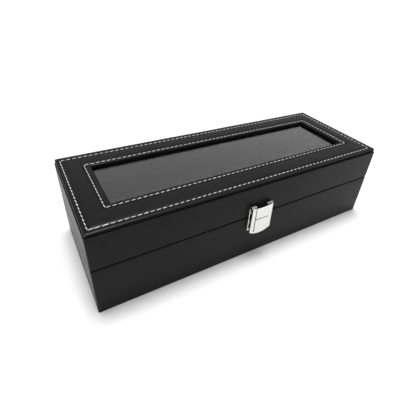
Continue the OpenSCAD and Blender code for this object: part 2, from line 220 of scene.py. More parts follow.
def leather(name, base, rough, spec, grain=1250.0, depth=0.00004, wear=0.5, rim=False):
    """Fine-grained synthetic leather: pebbled cells, mottling, soft waves, polished edges."""
    m = Mat(name)
    where = m.warped(900.0, 0.0006)
    cells = m.voronoi(grain, "DISTANCE_TO_EDGE", src=where)
    pebble = m.ramp(cells, [(0.0, 0.0), (0.10, 0.62), (0.34, 1.0)])
    pores = m.voronoi(grain * 0.52, "F1", src=where)
    pore = m.ramp(pores, [(0.0, 0.0), (0.07, 0.9), (0.12, 1.0)])
    fine = m.noise(5200.0, 2.0)
    grain_h = m.math("ADD", m.math("MULTIPLY", pebble, 0.75), m.math("MULTIPLY", fine, 0.35))
    grain_h = m.math("ADD", grain_h, m.math("MULTIPLY", pore, 0.35))
    wave = m.noise(95.0, 3.0, 0.5)
    n1 = m.bump(wave, 0.35, 0.0004)
    n2 = m.bump(grain_h, 0.55, depth, n1)
    m.link(n2, m.bsdf.inputs["Normal"])
    mott = m.noise(240.0, 4.0, 0.6)
    broad = m.noise(28.0, 3.0, 0.5)
    geo = m.node("ShaderNodeNewGeometry")
    edge = m.range(geo.outputs["Pointiness"], 0.0, wear, 0.53, 0.62)
    edge = m.math("MULTIPLY", edge, m.range(m.noise(160.0, 4.0, 0.65), 0.1, 1.0, 0.35, 0.7))
    dark = tuple(c * 0.82 for c in base)
    light = tuple(c * 1.22 for c in base)
    col = m.mix(m.range(mott, 0, 1, 0.3, 0.7), dark, light)
    col = m.mix(m.math("MULTIPLY", m.range(broad, 0, 1, 0.3, 0.7), 0.35), col,
                tuple(c * 1.35 for c in base))
    col = m.mix(edge, col, tuple(c * 1.7 for c in base))
    m.link(col, m.bsdf.inputs["Base Color"])
    rg = m.math("ADD", m.range(mott, rough - 0.05, rough + 0.05, 0.3, 0.7),
                m.range(cells, 0.05, 0.0, 0.0, 0.2))
    rg = m.math("SUBTRACT", rg, m.math("MULTIPLY", edge, 0.10))
    if rim:
        # the folded edge is rubbed shiny at the front left and dull at the back and right
        sep = m.node("ShaderNodeSeparateXYZ")
        m.link(geo.outputs["Normal"], sep.inputs["Vector"])
        nx, ny, nz = sep.outputs
        pos = m.node("ShaderNodeSeparateXYZ")
        m.link(m.coord, pos.inputs["Vector"])
        away = m.math("ADD", m.math("MULTIPLY", nx, 0.55), m.math("MULTIPLY", ny, 0.83))
        dull = m.range(away, 0.0, 1.0, 0.05, 0.3)
        shiny = m.math("MULTIPLY", m.range(ny, 0.0, 1.0, -0.22, -0.55), m.range(nz, 0.0, 1.0, 0.3, 0.65))
        shiny = m.math("MULTIPLY", shiny, m.range(pos.outputs[0], 1.0, 0.28, -0.132, -0.09))
        lv = m.math("MULTIPLY", m.range(dull, 1.0, 0.06), spec)
        m.link(m.math("ADD", lv, m.math("MULTIPLY", shiny, 0.55)), m.bsdf.inputs["Specular IOR Level"])
        rg = m.math("ADD", rg, m.math("MULTIPLY", dull, 0.4))
        rg = m.math("SUBTRACT", rg, m.math("MULTIPLY", shiny, 0.10))
    m.link(rg, m.bsdf.inputs["Roughness"])
    if not rim:
        m.set(Specular_IOR_Level=spec)
    m.set(IOR=1.45)
    return m.m


def velvet(name, base, sheen=0.35, pile=0.0001):
    """Short dense pile that lies this way and that."""
    m = Mat(name)
    fibre = m.noise(4200.0, 2.0, 0.7)
    tuft = m.noise(1300.0, 3.0, 0.6)
    nap = m.noise(55.0, 3.0, 0.5, distortion=0.8)
    n1 = m.bump(nap, 0.35, 0.0004)
    n2 = m.bump(m.math("ADD", fibre, m.math("MULTIPLY", tuft, 0.7)), 0.5, pile, n1)
    m.link(n2, m.bsdf.inputs["Normal"])
    col = m.mix(m.range(nap, 0, 1, 0.35, 0.65), tuple(c * 0.8 for c in base),
                tuple(c * 1.3 for c in base))
    col = m.mix(m.math("MULTIPLY", m.range(tuft, 0, 1, 0.4, 0.7), 0.4), col,
                tuple(c * 2.0 for c in base))
    m.link(col, m.bsdf.inputs["Base Color"])
    m.link(m.range(nap, 0.86, 1.0, 0.3, 0.7), m.bsdf.inputs["Roughness"])
    m.set(Specular_IOR_Level=0.1, Sheen_Weight=sheen, Sheen_Roughness=0.35,
          Sheen_Tint=(0.72, 0.73, 0.78, 1))
    return m.m


def felt(name, base):
    m = Mat(name)
    fibre = m.noise(2400.0, 5.0, 0.75, distortion=1.5)
    clump = m.noise(350.0, 4.0, 0.6)
    m.link(m.bump(m.math("ADD", fibre, clump), 0.8, 0.0003), m.bsdf.inputs["Normal"])
    m.link(m.mix(m.range(fibre, 0, 1, 0.35, 0.65), tuple(c * 0.6 for c in base),
                 tuple(c * 1.7 for c in base)), m.bsdf.inputs["Base Color"])
    m.link(m.range(clump, 0.9, 1.0), m.bsdf.inputs["Roughness"])
    m.set(Specular_IOR_Level=0.1, Sheen_Weight=0.25, Sheen_Roughness=0.5)
    return m.m


def thread_mat(name, base):
    """Polyester thread: fibres along the stitch, a little soiling."""
    m = Mat(name)
    fibre = m.noise(9000.0, 2.0, 0.6)
    soil = m.noise(170.0, 3.0, 0.6)
    m.link(m.bump(fibre, 0.6, 0.00006), m.bsdf.inputs["Normal"])
    m.link(m.mix(m.range(soil, 0, 1, 0.35, 0.7), base, tuple(c * 0.74 for c in base)),
           m.bsdf.inputs["Base Color"])
    m.link(m.range(fibre, 0.5, 0.75), m.bsdf.inputs["Roughness"])
    m.set(Specular_IOR_Level=0.4, Sheen_Weight=0.3, Sheen_Roughness=0.4)
    return m.m


def metal(name, base, rough, streak=(1, 1, 1), streak_depth=0.0, scratch=0.02):
    m = Mat(name)
    along = m.mapping(streak)
    grain = m.noise(2600.0, 2.0, 0.6, src=along)
    smear = m.noise(130.0, 4.0, 0.6)
    hair = m.voronoi(420.0, "DISTANCE_TO_EDGE", src=m.mapping((1, 1, 14), (0.4, 0.3, 0.5)))
    hair = m.range(hair, 1.0, 0.0, 0.0, 0.012)
    m.link(m.bump(m.math("ADD", m.math("MULTIPLY", grain, 1.0 if streak_depth else 0.25),
                         m.math("MULTIPLY", hair, -scratch * 10)),
                  0.25, streak_depth or 0.000004), m.bsdf.inputs["Normal"])
    # painted shade: the colour drops to about a fifth of the base where ambient occlusion finds grooves and gaps
    groove_shade = m.node("ShaderNodeAmbientOcclusion", only_local=True, samples=6)
    groove_shade.inputs["Distance"].default_value = 0.0014
    worn = m.mix(m.range(smear, 0, 1, 0.3, 0.7), base, tuple(c * 0.93 for c in base))
    m.link(m.mix(m.range(groove_shade.outputs["AO"], 0, 1, 0.58, 0.97), tuple(c * 0.22 for c in base), worn),
           m.bsdf.inputs["Base Color"])
    m.link(m.math("ADD", m.range(smear, rough * 0.8, rough * 1.3, 0.3, 0.7),
                  m.math("MULTIPLY", hair, 0.1)), m.bsdf.inputs["Roughness"])
    m.set(Metallic=1.0)
    return m.m


def board(name, base, fibre_scale=1500.0):
    """Raw fibreboard or grey board: pressed fibres in a mottled sheet."""
    m = Mat(name)
    fib = m.noise(fibre_scale, 5.0, 0.7, src=m.mapping((0.35, 1, 1)), distortion=0.6)
    chips = m.voronoi(fibre_scale * 0.4, "F1")
    blotch = m.noise(60.0, 3.0, 0.5)
    col = m.mix(m.range(fib, 0, 1, 0.35, 0.65), tuple(c * 0.7 for c in base),
                tuple(min(1, c * 1.25) for c in base))
    col = m.mix(m.math("MULTIPLY", m.range(blotch, 0, 1, 0.35, 0.65), 0.3), col,
                tuple(c * 0.8 for c in base))
    m.link(col, m.bsdf.inputs["Base Color"])
    m.link(m.bump(m.math("ADD", fib, m.math("MULTIPLY", chips, 0.5)), 0.5, 0.0001),
           m.bsdf.inputs["Normal"])
    m.link(m.range(fib, 0.78, 0.95), m.bsdf.inputs["Roughness"])
    m.set(Specular_IOR_Level=0.25)
    return m.m


def foam(name, base):
    m = Mat(name)
    cells = m.voronoi(2600.0, "F1")
    m.link(m.bump(cells, 0.9, 0.0002), m.bsdf.inputs["Normal"])
    m.link(m.mix(m.range(cells, 1, 0, 0.0, 0.35), base, tuple(c * 0.55 for c in base)),
           m.bsdf.inputs["Base Color"])
    m.link(m.range(cells, 0.85, 1.0), m.bsdf.inputs["Roughness"])
    m.set(Specular_IOR_Level=0.2)
    return m.m


def glass_mat(name):
    """Clear float glass, very slightly uneven and with the faintest smears."""
    m = Mat(name)
    smear = m.noise(22.0, 4.0, 0.6, distortion=1.2)
    m.link(m.mix(m.range(smear, 0, 1, 0.3, 0.8), (0.975, 0.988, 0.984), (0.955, 0.97, 0.966)),
           m.bsdf.inputs["Base Color"])
    m.link(m.bump(m.noise(9.0, 1.0), 0.05, 0.0002), m.bsdf.inputs["Normal"])
    m.set(Roughness=0.0, Transmission_Weight=1.0, IOR=1.5)
    return m.m


M_BASE = leather("leatherette_walls", (0.0085, 0.0085, 0.0087), 0.33, 0.115)
M_TOP = leather("leatherette_top", (0.0050, 0.0050, 0.0053), 0.42, 0.16, grain=1150.0,
                depth=0.00006, rim=True)
M_LINING = velvet("velvet_lining", (0.0030, 0.0030, 0.0034), sheen=0.14)
M_CUSHION = velvet("cushion_velvet", (0.0070, 0.0070, 0.0075), sheen=0.32, pile=0.00008)
M_FELT = felt("felt", (0.010, 0.010, 0.011))
M_THREAD = thread_mat("thread", (0.76, 0.76, 0.73))
M_CARD = board("black_card", (0.004, 0.004, 0.004), 2200.0)
M_GREY = board("grey_board", (0.30, 0.29, 0.27), 1800.0)
M_BOARD = board("fibreboard", (0.55, 0.42, 0.28))
M_STAINED = board("stained_fibreboard", (0.006, 0.006, 0.006))
M_FOAM = foam("foam", (0.80, 0.78, 0.70))
M_GLASS = glass_mat("glass")
M_CHROME = metal("chrome", (0.79, 0.79, 0.765), 0.12)
M_PLATE_SHADED = metal("chrome_plates_painted_shade", (0.66, 0.66, 0.64), 0.14)       # darker chrome as painted shade for the plates behind the flap
M_NICKEL = metal("nickel_steel", (0.60, 0.59, 0.56), 0.24, streak=(0.06, 1, 1),
                 streak_depth=0.00001)
BY_SLOT = {"board": M_BOARD, "black_board": M_STAINED, "black_leatherette": M_BASE, "padded_leatherette": M_TOP,
           "velvet_lining": M_LINING, "cushion_velvet": M_CUSHION, "felt": M_FELT,
           "thread": M_THREAD, "foam": M_FOAM, "black_card": M_CARD, "grey_board": M_GREY,
           "glass": M_GLASS, "chrome": M_CHROME, "nickel_steel": M_NICKEL}


# ------------------------------------------------------------------ mesh helpers
def tidy(me, sharp_deg=38.0, merge=2e-6):
    """Merges doubles, points the faces outward, smooths all but the sharp edges."""
    bm = bmesh.new()
    bm.from_mesh(me)
    bmesh.ops.remove_doubles(bm, verts=bm.verts, dist=merge)
    bmesh.ops.dissolve_degenerate(bm, dist=merge, edges=bm.edges)
    bmesh.ops.recalc_face_normals(bm, faces=bm.faces)
    lim = math.radians(sharp_deg)
    for f in bm.faces:
        f.smooth = True
    for e in bm.edges:
        e.smooth = len(e.link_faces) == 2 and e.calc_face_angle(0.0) < lim
    bm.to_mesh(me)
    bm.free()
    me.update()


def make(name, verts_mm, faces, mat, sharp=38.0):
    me = bpy.data.meshes.new(name)
    me.from_pydata((np.asarray(verts_mm, float) * MM).tolist(), [], faces)
    tidy(me, sharp)
    me.materials.append(mat)
    ob = bpy.data.objects.new(name, me)
    scene.collection.objects.link(ob)
    return ob


def place(ob, body, slot, *replaced):
    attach(ob, body)
    if replaced:
        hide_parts(*replaced)
    return ob


def tube_faces(k, s):
    """Quads of a closed grid, k profile points round and s stations round."""
    i, j = np.meshgrid(np.arange(k), np.arange(s), indexing="ij")
    i2, j2 = (i + 1) % k, (j + 1) % s
    return np.stack([i * s + j, i * s + j2, i2 * s + j2, i2 * s + j], -1).reshape(-1, 4).tolist()


class Perimeter:
    """Stations round a rectangle with round corners; every ring has the same stations."""

    def __init__(self, nx, ny, na):
        self.tx, self.ty = np.linspace(0, 1, nx + 1), np.linspace(0, 1, ny + 1)
        self.ta = np.linspace(0, math.pi / 2, na + 1)[1:-1]

    def ring(self, insets, rho):
        """insets at the left, front, back and right; returns x, y and the outward normal."""
        a, f, b, r = insets
        x0, x1, y0, y1 = -L + a, L - r, -D + f, D - b
        rho = max(rho, 0.0)
        one = np.ones_like
        px, py, nx, ny = [], [], [], []

        def side(xs, ys, n):
            px.append(xs); py.append(ys); nx.append(one(xs) * n[0]); ny.append(one(xs) * n[1])

        def arc(cx, cy, start):
            t = self.ta + start
            px.append(cx + rho * np.cos(t)); py.append(cy + rho * np.sin(t))
            nx.append(np.cos(t)); ny.append(np.sin(t))

        h = math.pi / 2
        tx, ty = self.tx, self.ty
        side(x0 + rho + (x1 - x0 - 2 * rho) * tx, one(tx) * y0, (0, -1))
        arc(x1 - rho, y0 + rho, -h)
        side(one(ty) * x1, y0 + rho + (y1 - y0 - 2 * rho) * ty, (1, 0))
        arc(x1 - rho, y1 - rho, 0)
        side(x1 - rho - (x1 - x0 - 2 * rho) * tx, one(tx) * y1, (0, 1))
        arc(x0 + rho, y1 - rho, h)
        side(one(ty) * x0, y1 - rho - (y1 - y0 - 2 * rho) * ty, (-1, 0))
        arc(x0 + rho, y0 + rho, 2 * h)
        return (np.concatenate(px), np.concatenate(py), np.concatenate(nx), np.concatenate(ny))


def waves(seed, wavelength, count=6):
    """A smooth pseudo-random field of x, y, z in mm with values about -1 to 1."""
    g = np.random.default_rng(seed)
    k = g.normal(size=(count, 3))
    k /= np.linalg.norm(k, axis=1)[:, None]
    k *= (2 * math.pi / wavelength) * g.uniform(0.7, 1.5, (count, 1))
    ph = g.uniform(0, 2 * math.pi, count)
    return lambda x, y, z: sum(
        np.sin(k[i, 0] * x + k[i, 1] * y + k[i, 2] * z + ph[i]) for i in range(count)) / count ** 0.5


def softmin(a, b, k=0.14):
    m = np.minimum(a, b)
    return m - k * np.log(np.exp(-(a - m) / k) + np.exp(-(b - m) / k))


# ------------------------------------------------------------------ leather walls
def shell(name, h_bot, h_top, w_b, r_b, w_t, r_t, mat, cutters, groove_top, groove_bot, seed,
          droop=0.0):
    """A sheet of leatherette round the outside, turned in at the top and the bottom.
    h_bot and h_top give the lowest and highest faces as functions of y."""
    per = Perimeter(100, 38, 10)
    t = 0.8
    ripple = waves(seed, 85.0)
    fine = waves(seed + 1, 17.0)
    rows = []                                     # (inset, kind, value)

    def strip(w, r, kind, dense):
        a = list(np.linspace(w, 3.6, 5)[:-1] if w > 4 else [])
        a += list(np.arange(3.6, 1.9, -0.17)) if dense else [3.6, 2.8, 2.2]
        a += list(np.linspace(1.85, r, 4))
        return [(v, kind, 0.0) for v in a]

    rows += strip(w_b, r_b, "bot", groove_bot)
    for p in np.linspace(0, 90, 8)[1:]:
        q = math.radians(p)
        rows.append((r_b * (1 - math.sin(q)), "bot", r_b * (1 - math.cos(q))))
    for s in np.linspace(0, 1, 18)[1:-1]:
        rows.append((0.0, "wall", s))
    for p in np.linspace(0, 90, 8)[:-1]:
        q = math.radians(p)
        rows.append((r_t * (1 - math.cos(q)), "top", -r_t * (1 - math.sin(q))))
    rows += [(v, "top", 0.0) for v, _, _ in reversed(strip(w_t, r_t, "top", groove_top))]
    # the sheet's inner face, back again
    ri = 0.3
    inner = [(w_t, "itop", 0.0), (5.0, "itop", 0.0), (3.4, "itop", 0.0), (2.6, "itop", 0.0),
             (1.8, "itop", 0.0), (t + ri, "itop", 0.0), (t + 0.09, "itop", -0.09), (t, "itop", -ri)]
    inner += [(t, "iwall", s) for s in (0.25, 0.5, 0.75)]
    inner += [(t, "ibot", ri), (t + 0.09, "ibot", 0.09), (t + ri, "ibot", 0.0), (1.8, "ibot", 0.0),
              (2.6, "ibot", 0.0), (3.4, "ibot", 0.0), (5.0, "ibot", 0.0), (w_b, "ibot", 0.0)]
    verts = []
    for a, kind, v in rows + inner:
        x, y, nx, ny = per.ring((a,) * 4, CORNER - a)
        wall_y = np.clip(y + ny * a, -D, D)
        if kind == "bot":
            z = h_bot(y) + v - droop * min(1.0, max(0.0, (2.6 - a) / 1.6))
        elif kind == "top":
            z = h_top(y) + v
        elif kind == "wall":
            lo, hi = h_bot(y) + r_b - droop, h_top(y) - r_t
            z = lo + (hi - lo) * v
        else:
            sb = np.maximum(0, (h_bot(y) - h_bot(0 * y)) / TAN) > 0.02
            st = np.maximum(0, (h_top(0 * y) - h_top(y)) / TAN) > 0.02
            lo, hi = h_bot(y) + t + 0.42 * sb, h_top(y) - t - 0.42 * st
            z = {"itop": hi + v, "ibot": lo + v, "iwall": lo + ri + (hi - lo - 2 * ri) * v}[kind]
        if kind == "wall":
            lift = 0.055 * ripple(x, y, z) + 0.018 * fine(x, y, z)
            lift *= np.minimum(1, np.minimum(v, 1 - v) * 9)
            x, y = x + nx * (lift - 0.03), y + ny * (lift - 0.03)
        verts.append(np.stack([x, y, z], -1))
    k, s = len(verts), len(verts[0])
    ob = make(name, np.concatenate(verts), tube_faces(k, s), mat)
    for i, c in enumerate(cutters):
        md = ob.modifiers.new(f"cut{i}", "BOOLEAN")
        md.operation, md.solver, md.object = "DIFFERENCE", "EXACT", c
    dg = bpy.context.evaluated_depsgraph_get()
    cut = bpy.data.meshes.new_from_object(ob.evaluated_get(dg))
    ob.modifiers.clear()
    old = ob.data
    ob.data = cut
    cut.name = name
    bpy.data.meshes.remove(old)
    tidy(ob.data, 33.0)
    return ob


def cutter(boxes, rods):
    bm = bmesh.new()
    for lo, hi in boxes:
        lo, hi = Vector(lo) * MM, Vector(hi) * MM
        got = bmesh.ops.create_cube(bm, size=1.0)["verts"]
        for v in got:
            v.co = Vector([(lo[i] + hi[i]) / 2 + v.co[i] * (hi[i] - lo[i]) for i in range(3)])
    for c, axis, h, r in rods:
        m = Matrix.Translation(Vector(c) * MM) @ (
            Matrix.Rotation(math.pi / 2, 4, "Y") if axis == "x" else Matrix.Rotation(math.pi / 2, 4, "X"))
        bmesh.ops.create_cone(bm, cap_ends=True, segments=40, radius1=r * MM, radius2=r * MM,
                              depth=h * MM, matrix=m)
    me = bpy.data.meshes.new("cutter")
    bm.to_mesh(me)
    bm.free()
    ob = bpy.data.objects.new("cutter", me)
    scene.collection.objects.link(ob)
    ob.hide_render = True
    return ob


def base_top(y):
    return softmin(ZB + 0 * y, BASE_H - 0.152 - (y - HY) * TAN)


def lid_bottom(y):
    return -softmin(-ZL + 0 * y, -(BASE_H + 0.152) - (y - HY) * TAN)


SEAT = [((s * 95 - 15, LEAF_Y0, 0), (s * 95 + 15, HY, 0)) for s in (-1, 1)]
seats_b = cutter([((a[0], a[1], BASE_H - 0.85), (b[0], b[1], BASE_H + 1)) for a, b in SEAT], [])
seats_l = cutter([((a[0], a[1], BASE_H - 1), (b[0], b[1], BASE_H + 0.85)) for a, b in SEAT], [])
rods_b = cutter([], [((s * 95, HY, BASE_H), "x", 32, 1.85) for s in (-1, 1)]
                + [((CLASP_X + s * 8.6, -D, 41.5), "y", 6, 0.55) for s in (-1, 1)])
rods_l = cutter([], [((s * 95, HY, BASE_H), "x", 32, 1.85) for s in (-1, 1)]
                + [((CLASP_X + s * 8.6, -D, 51.5), "y", 6, 0.55) for s in (-1, 1)])

base_leather = shell("base_leather", lambda y: ZW + 0 * y, base_top, 15.0, 0.6, 8.8, 1.1,
                     M_BASE, [seats_b, rods_b], True, False, 11, 0.42)
place(base_leather, "base", "black_leatherette", "base_leather_wrap")
lid_leather = shell("lid_leather", lid_bottom, lambda y: ZS + 0 * y, 8.2, 1.5, 8.2, 0.6,
                    M_BASE, [seats_l, rods_l], False, True, 23)
place(lid_leather, "lid", "black_leatherette", "lid_leather_wrap")
for c in (seats_b, seats_l, rods_b, rods_l):
    me = c.data
    bpy.data.objects.remove(c)
    bpy.data.meshes.remove(me)


# ------------------------------------------------------------------ padded top frame
def line_rect(insets):
    a, f, b, r = insets
    return -L + a, L - r, -D + f, D - b


def side_stitches(length, first=None):
    """(start, end, thickness) of each stitch along a side of that length."""
    out, at = [], 0.0
    for s in first or []:
        out.append(s)
        at = s[1] + 0.6
    n = max(1, round((length - at) / 4.8))
    p = (length - at) / n
    out += [(at + i * p + 0.85, at + (i + 1) * p - 0.85, 1.0) for i in range(n)]
    return out


def line_stitches(insets, front_first=None):
    """Every stitch of a rectangular line, as ((x0, y0), (x1, y1), thickness), and the holes."""
    x0, x1, y0, y1 = line_rect(insets)
    out = []
    for (ax, ay), (bx, by), first in (
            ((x0, y0), (x1, y0), front_first), ((x1, y0), (x1, y1), None),
            ((x1, y1), (x0, y1), None), ((x0, y1), (x0, y0), None)):
        ln = math.hypot(bx - ax, by - ay)
        ux, uy = (bx - ax) / ln, (by - ay) / ln
        for s, e, w in side_stitches(ln, first):
            out.append(((ax + ux * s, ay + uy * s), (ax + ux * e, ay + uy * e), w))
    ends = np.array([p for a, b, _ in out for p in (a, b)])
    holes = (ends + np.roll(ends, 1, axis=0))[::2] / 2          # one hole between two stitches
    return out, holes


# the seam starts and ends near the front left corner, where the thread is doubled
OUTER, OUTER_HOLES = line_stitches(OUT, [(0.5, 4.0, 0.95), (5.0, 8.5, 0.95), (9.9, 14.4, 1.2)])
INNER, INNER_HOLES = line_stitches(INN)


def line_distance(x, y, insets):
    x0, x1, y0, y1 = line_rect(insets)
    dx = np.minimum(x - x0, x1 - x)
    dy = np.minimum(y - y0, y1 - y)
    inside = np.minimum(dx, dy)
    outside = np.hypot(np.minimum(dx, 0), np.minimum(dy, 0))
    return np.where(inside >= 0, inside, outside)


def hole_pull(x, y, holes, width):
    """Dimples at the needle holes, found with the nearest hole of each point."""
    from mathutils.kdtree import KDTree
    tree = KDTree(len(holes))
    for i, h in enumerate(holes):
        tree.insert((h[0], h[1], 0), i)
    tree.balance()
    d = np.array([tree.find((a, b, 0))[2] for a, b in zip(x, y)])
    return np.exp(-(d / width) ** 2)


top_wave = waves(5, 60.0)
top_fine = waves(6, 9.0)
edge_wave = waves(9, 42.0)


def top_z(x, y, pulls=True):
    """Height of the padded frame's upper face."""
    do, di = line_distance(x, y, OUT), line_distance(x, y, INN)
    x0, x1, y0, y1 = line_rect(OUT)
    inside_o = (x > x0) & (x < x1) & (y > y0) & (y < y1)
    x0, x1, y0, y1 = line_rect(INN)
    inside_i = (x > x0) & (x < x1) & (y > y0) & (y < y1)
    mid = inside_o & ~inside_i
    z = ZT - 0.05 + 0 * x
    z = z + np.where(mid, 0.72 * (1 - np.exp(-(np.minimum(do, di) / 2.7) ** 2)), 0.0)
    z = z + np.where(~inside_o, 0.06, 0.0) + np.where(inside_i, 0.04, 0.0)
    z = z - 0.22 * np.exp(-(do / 0.75) ** 2) - 0.22 * np.exp(-(di / 0.75) ** 2)
    z = z + 0.035 * top_wave(x, y, 0 * x) + np.where(mid, 0.012, 0.0) * top_fine(x, y, 0 * x)
    if pulls:
        near_o, near_i = do < 2.2, di < 2.2
        p = np.zeros_like(x)
        if near_o.any():
            p[near_o] += hole_pull(x[near_o], y[near_o], OUTER_HOLES, 0.8)
        if near_i.any():
            p[near_i] += hole_pull(x[near_i], y[near_i], INNER_HOLES, 0.8)
        z = z - 0.22 * p
    return z


def plus(insets, d):
    return tuple(v + d for v in insets)


def blend3(a, b, t):
    return tuple(p + (q - p) * t for p, q in zip(a, b))


def top_rows():
    """Insets and kind of each ring over the top, from the outer edge to the window."""
    ro, ri = 0.8, 0.9
    rows = []
    for p in np.linspace(0, 90, 11):
        q = math.radians(p)
        d = FRAME_IN + 1.5 * (1 - math.cos(q))
        rows.append(((d,) * 4, ro * (1 - math.sin(q))))
    rows += [((2.8, 3.0, 3.4, 3.6), 0.0)]
    near = (0.0, 0.18, 0.36, 0.58, 0.85, 1.2)
    rows += [(plus(OUT, -d), 0.0) for d in reversed(near[1:])]
    rows += [(plus(OUT, d), 0.0) for d in near]
    a, b = plus(OUT, 1.2), plus(INN, -1.2)
    rows += [(blend3(a, b, t), 0.0) for t in (0.04, 0.1, 0.18, 0.27, 0.38, 0.5, 0.62, 0.73, 0.82, 0.9, 0.96)]
    rows += [(plus(INN, -d), 0.0) for d in reversed(near)]
    rows += [(plus(INN, d), 0.0) for d in near[1:]]
    rows += [(plus(INN, 1.7), 0.0)]
    for p in np.linspace(0, 90, 9):
        q = math.radians(p)
        rows.append((plus(WIN, -ri * (1 - math.sin(q))), ri * (1 - math.cos(q))))
    return rows


def frame_rings(per, rows, zfun):
    verts = []
    for insets, what in rows:
        x, y, nx, ny = per.ring(insets, max(0.0, 2.7 - min(insets)))
        z = zfun(x, y, what)
        if len(what) > 2:                         # the lip that hangs down at the ends and the back
            z = z - LIP * what[2] * np.clip(1.4 * np.maximum(np.abs(nx), ny), 0, 1)
        push = 0.10 * edge_wave(x, y, 0 * x) + 0.5 * np.exp(-((x + 106) / 26) ** 2) * (ny < -0.5)
        push = push - 0.48 * np.clip(nx * 1.2, 0, 1) - 0.65 * np.clip(ny * 1.2, 0, 1)
        push *= max(0.0, 1 - min(insets) / 3.2)
        verts.append(np.stack([x - nx * push, y - ny * push, z], -1))
    return verts


per_top = Perimeter(372, 138, 9)
rows = top_rows()
t_in = 0.4
upper = []
for insets, drop in rows:
    upper.append((insets, ("top", drop)))
LIP = GROOVE + 0.15               # the cover closes the groove at the ends and the back
outer_lo = [((8.0,) * 4, ("z", ZF)), ((5.5,) * 4, ("z", ZF)), ((3.0,) * 4, ("z", ZF))]
for d, front, f in ((1.60, 1.90, 0.0), (1.57, 1.84, 0.5), (1.53, 1.78, 0.92), (1.42, 1.72, 1.0), (1.25, 1.66, 1.0)):
    outer_lo.append(((d, front, d, d), ("z", ZF, f)))
for p, side, f in zip(np.linspace(0, 90, 6), (0.16, 0.06, 0.015, 0, 0, 0), (0.96, 0.88, 0.75, 0.55, 0.3, 0.0)):
    q = math.radians(p)
    d, e = FRAME_IN + 0.7 * (1 - math.sin(q)), FRAME_IN + side
    outer_lo.append(((e, d, e, e), ("z", ZF + 0.7 * (1 - math.cos(q)), f)))
inner_lo = [(WIN, ("z", ZF + 0.45)), (WIN, ("z", ZF + 0.2)), (plus(WIN, -0.06), ("z", ZF + 0.06)),
            (plus(WIN, -0.2), ("z", ZF)), (plus(WIN, -2.5), ("z", ZF)), (plus(WIN, -6.0), ("z", ZF))]
back_side = [(plus(WIN, -6.0), ("z", ZF + t_in)), (plus(WIN, -2.5), ("z", ZF + t_in)),
             (plus(WIN, -t_in), ("z", ZF + t_in)), (plus(WIN, -t_in), ("z", ZT - 0.92)),
             (plus(WIN, -0.61), ("under", 0.16)), (plus(WIN, -1.0), ("under", 0.0)),
             (plus(INN, 0.8), ("under", 0.0)), (INN, ("under", 0.0)), (plus(INN, -0.8), ("under", 0.0)),
             (blend3(INN, OUT, 0.25), ("under", 0.0)), (blend3(INN, OUT, 0.5), ("under", 0.0)),
             (blend3(INN, OUT, 0.75), ("under", 0.0)), (plus(OUT, 0.8), ("under", 0.0)),
             (OUT, ("under", 0.0)), (plus(OUT, -0.8), ("under", 0.0)), ((2.6,) * 4, ("under", 0.0)),
             ((FRAME_IN + 0.9,) * 4, ("under", 0.02)), ((FRAME_IN + 0.55,) * 4, ("under", 0.14)),
             ((FRAME_IN + t_in,) * 4, ("under", 0.33)), ((FRAME_IN + t_in,) * 4, ("z", ZF + 0.62)),
             ((FRAME_IN + 0.5,) * 4, ("z", ZF + 0.47)), ((FRAME_IN + 0.68,) * 4, ("z", ZF + t_in)),
             ((3.0,) * 4, ("z", ZF + t_in)),
             ((8.0,) * 4, ("z", ZF + t_in))]


def cover_z(x, y, what):
    kind, v = what[:2]
    if kind == "z":
        return v + 0 * x
    if kind == "top":
        return top_z(x, y, v < 0.6) - v
    return top_z(x, y, False) - t_in - v


all_rows = outer_lo + upper + inner_lo + back_side
verts = frame_rings(per_top, all_rows, cover_z)
top_cover = make("top_frame_cover", np.concatenate(verts), tube_faces(len(verts), len(verts[0])), M_TOP, 45.0)
place(top_cover, "lid", "padded_leatherette", "top_frame_leather")

# the foam under it, pressed down where the stitches run
per_foam = Perimeter(150, 56, 4)
foam_rows = [((FRAME_IN + 0.62,) * 4, ("z", ZF + 0.82)), ((FRAME_IN + 0.62,) * 4, ("under", 0.24)),
             ((FRAME_IN + 0.95,) * 4, ("under", 0.1)),
             ((FRAME_IN + 1.5,) * 4, ("under", 0.04)), (plus(OUT, -0.9), ("under", 0.04)), (OUT, ("under", 0.04)),
             (plus(OUT, 0.9), ("under", 0.04)), (blend3(OUT, INN, 0.25), ("under", 0.04)),
             (blend3(OUT, INN, 0.5), ("under", 0.04)), (blend3(OUT, INN, 0.75), ("under", 0.04)),
             (plus(INN, -0.9), ("under", 0.04)), (INN, ("under", 0.04)), (plus(INN, 0.9), ("under", 0.04)),
             (plus(WIN, -1.6), ("under", 0.04)), (plus(WIN, -0.95), ("under", 0.1)),
             (plus(WIN, -0.62), ("under", 0.24)), (plus(WIN, -0.62), ("z", ZF + 0.82)),
             (blend3(OUT, INN, 0.5), ("z", ZF + 0.82))]
verts = frame_rings(per_foam, foam_rows, cover_z)
top_foam = make("top_frame_foam", np.concatenate(verts), tube_faces(len(verts), len(verts[0])), M_FOAM)
place(top_foam, "lid", "foam", "top_frame_padding")


